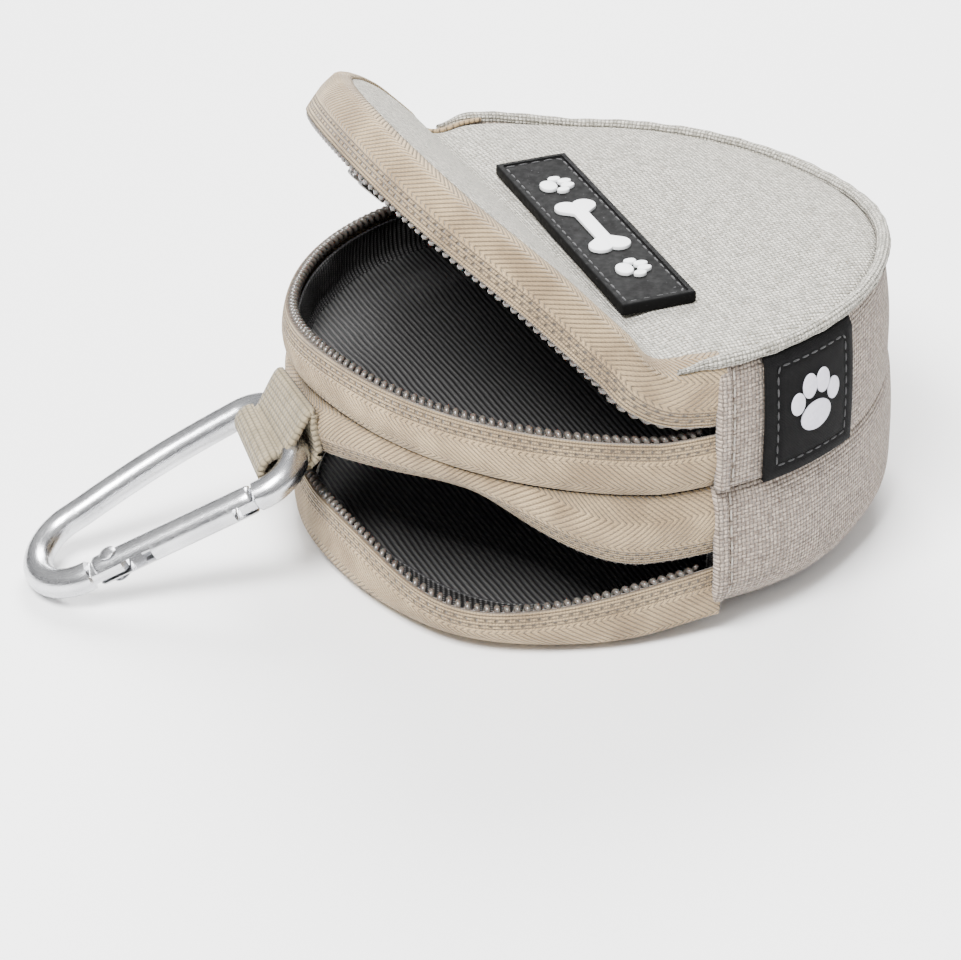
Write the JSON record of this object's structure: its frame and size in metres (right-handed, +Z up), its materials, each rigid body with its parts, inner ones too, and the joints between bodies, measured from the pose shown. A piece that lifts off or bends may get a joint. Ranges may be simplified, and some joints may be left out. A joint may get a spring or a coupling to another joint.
{
  "type": "treat pouch",
  "caption": "Round two-compartment canvas treat pouch with zipped front openings, fold-back lid and base flap, webbing loop and a small carabiner with a sprung gate.",
  "frame": {"origin": "centre of the drum at the underside of its base, on the table", "axes": "+Z up, the closed back gusset towards +X, the zips and the webbing loop towards -X, +Y along the fold lines of the lid and base flap"},
  "size_m": [0.1482, 0.1054, 0.081],
  "materials": {
    "canvas": "heathered plain weave",
    "tape": "herringbone zip tape",
    "teeth": "moulded coil",
    "lining": "ribbed nylon",
    "rubber": "matte moulded",
    "label": "woven satin",
    "webbing": "ribbed webbing",
    "slider": "dull plated",
    "aluminium": "satin anodised",
    "steel": "plain"
  },
  "bodies": {
    "pouch": {"base_back_panel": "canvas", "base_back_lining": "lining", "lower_gusset": "canvas", "lower_gusset_lining": "lining", "lower_near_hem": "canvas", "lower_far_hem": "canvas", "lower_roof_tape": "tape", "lower_roof_lining": "lining", "lower_roof_teeth": "teeth", "lower_tape_end_far": "tape", "lower_tape_end_near": "tape", "divider_panel": "canvas", "divider_floor_lining": "lining", "divider_ceiling_lining": "lining", "upper_gusset": "canvas", "upper_gusset_lining": "lining", "upper_near_hem": "canvas", "upper_far_hem": "canvas", "upper_wall_tape": "tape", "upper_wall_lining": "lining", "upper_wall_teeth": "teeth", "upper_tape_end_far": "tape", "upper_tape_end_near": "tape", "top_back_panel": "canvas", "top_back_lining": "lining", "top_welt": "canvas", "rubber_patch": "rubber", "woven_label": "label"},
    "lid": {"lid_panel": "canvas", "lid_lining": "lining", "lid_tape": "tape", "lid_teeth": "teeth"},
    "base_flap": {"base_flap_panel": "canvas", "base_flap_lining": "lining", "base_flap_tape": "tape", "base_flap_teeth": "teeth"},
    "upper_zip_slider": {"upper_slider": "slider"},
    "upper_pull": {"upper_pull_tab": "slider"},
    "lower_zip_slider": {"lower_slider": "slider"},
    "lower_pull": {"lower_pull_tab": "slider"},
    "loop": {"webbing_loop": "webbing"},
    "carabiner": {"carabiner_body": "aluminium", "gate_rivet": "steel"},
    "gate": {"gate_tube": "aluminium", "gate_spring": "steel", "gate_plunger": "steel"}
  },
  "joints": [
    {"name": "lid_fold", "type": "hinge", "parent": "pouch", "child": "lid", "pos_m": [-0.0084, 0, 0.0498], "axis": [0, 1, 0], "range_deg": [-40.5, 38]},
    {"name": "base_flap_fold", "type": "hinge", "parent": "pouch", "child": "base_flap", "pos_m": [-0.0084, 0, 0.0006], "axis": [0, 1, 0], "range_deg": [-65, 7]},
    {"name": "upper_slider_travel", "type": "hinge", "parent": "lid", "child": "upper_zip_slider", "pos_m": [-0.01095, 0, 0.0362], "axis": [0.7431, 0, 0.6691], "range_deg": [0, 148]},
    {"name": "upper_pull_swing", "type": "hinge", "parent": "upper_zip_slider", "child": "upper_pull", "pos_m": [-0.01815, 0.05125, 0.04374], "axis": [0.7431, 0, 0.6691], "range_deg": [0, 100]},
    {"name": "lower_slider_travel", "type": "hinge", "parent": "base_flap", "child": "lower_zip_slider", "pos_m": [0, 0, 0.0142], "axis": [0, 0, 1], "range_deg": [0, 148]},
    {"name": "lower_pull_swing", "type": "hinge", "parent": "lower_zip_slider", "child": "lower_pull", "pos_m": [-0.01043, 0.05125, 0.0142], "axis": [0, 0, 1], "range_deg": [0, 100]},
    {"name": "loop_seam", "type": "hinge", "parent": "pouch", "child": "loop", "pos_m": [-0.051, 0, 0.0308], "axis": [0, 1, 0], "range_deg": [0, 60]},
    {"name": "carabiner_swing", "type": "hinge", "parent": "loop", "child": "carabiner", "pos_m": [-0.05286, 0.00095, 0.02341], "axis": [0.1561, 0.9848, 0.0761], "range_deg": [-18, 38]},
    {"name": "gate_hinge", "type": "hinge", "parent": "carabiner", "child": "gate", "pos_m": [-0.0848, -0.00196, 0.00782], "axis": [-0.4384, 0, 0.8988], "range_deg": [0, 24], "stiffness_Nm_per_rad": 0.02, "springref_deg": -17.19}
  ]
}
